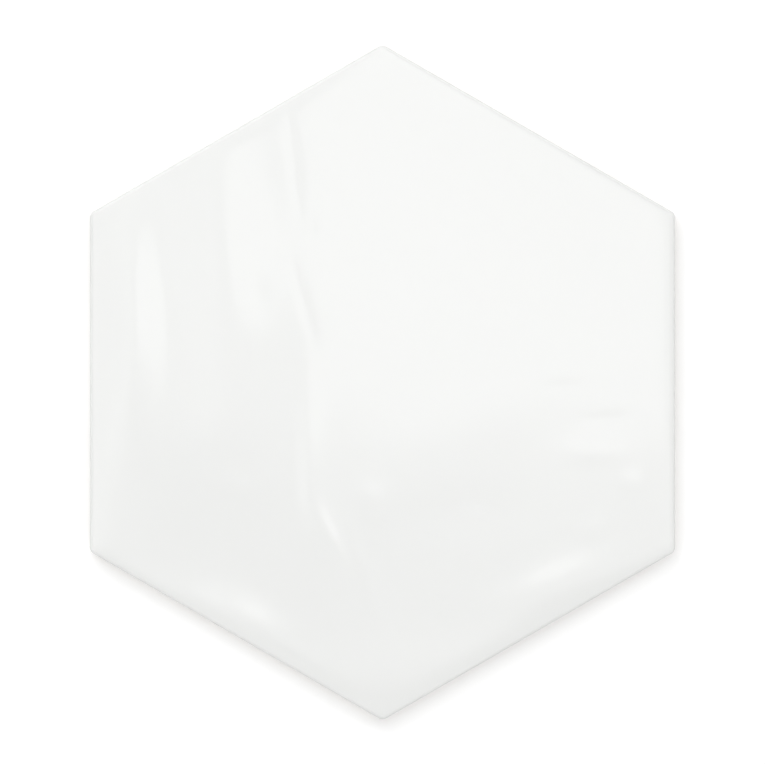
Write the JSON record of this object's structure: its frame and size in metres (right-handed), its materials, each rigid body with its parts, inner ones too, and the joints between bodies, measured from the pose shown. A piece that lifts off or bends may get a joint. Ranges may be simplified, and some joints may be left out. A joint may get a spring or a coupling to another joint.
{
  "type": "hexagon floor tile",
  "caption": "Regular hexagonal floor tile of glazed porcelain: gently waved glossy white face, rolled glazed edges, drafted foot and honeycomb-keyed back.",
  "frame": {"origin": "centre of the back, on the plane that the back rests on", "axes": "+Z out of the glazed face, +Y towards one corner, +X square to one side"},
  "size_m": [0.2, 0.2302, 0.0093],
  "materials": {
    "glazed_porcelain": "gloss"
  },
  "bodies": {
    "root": {"hexagon_tile": "glazed_porcelain"}
  },
  "joints": []
}
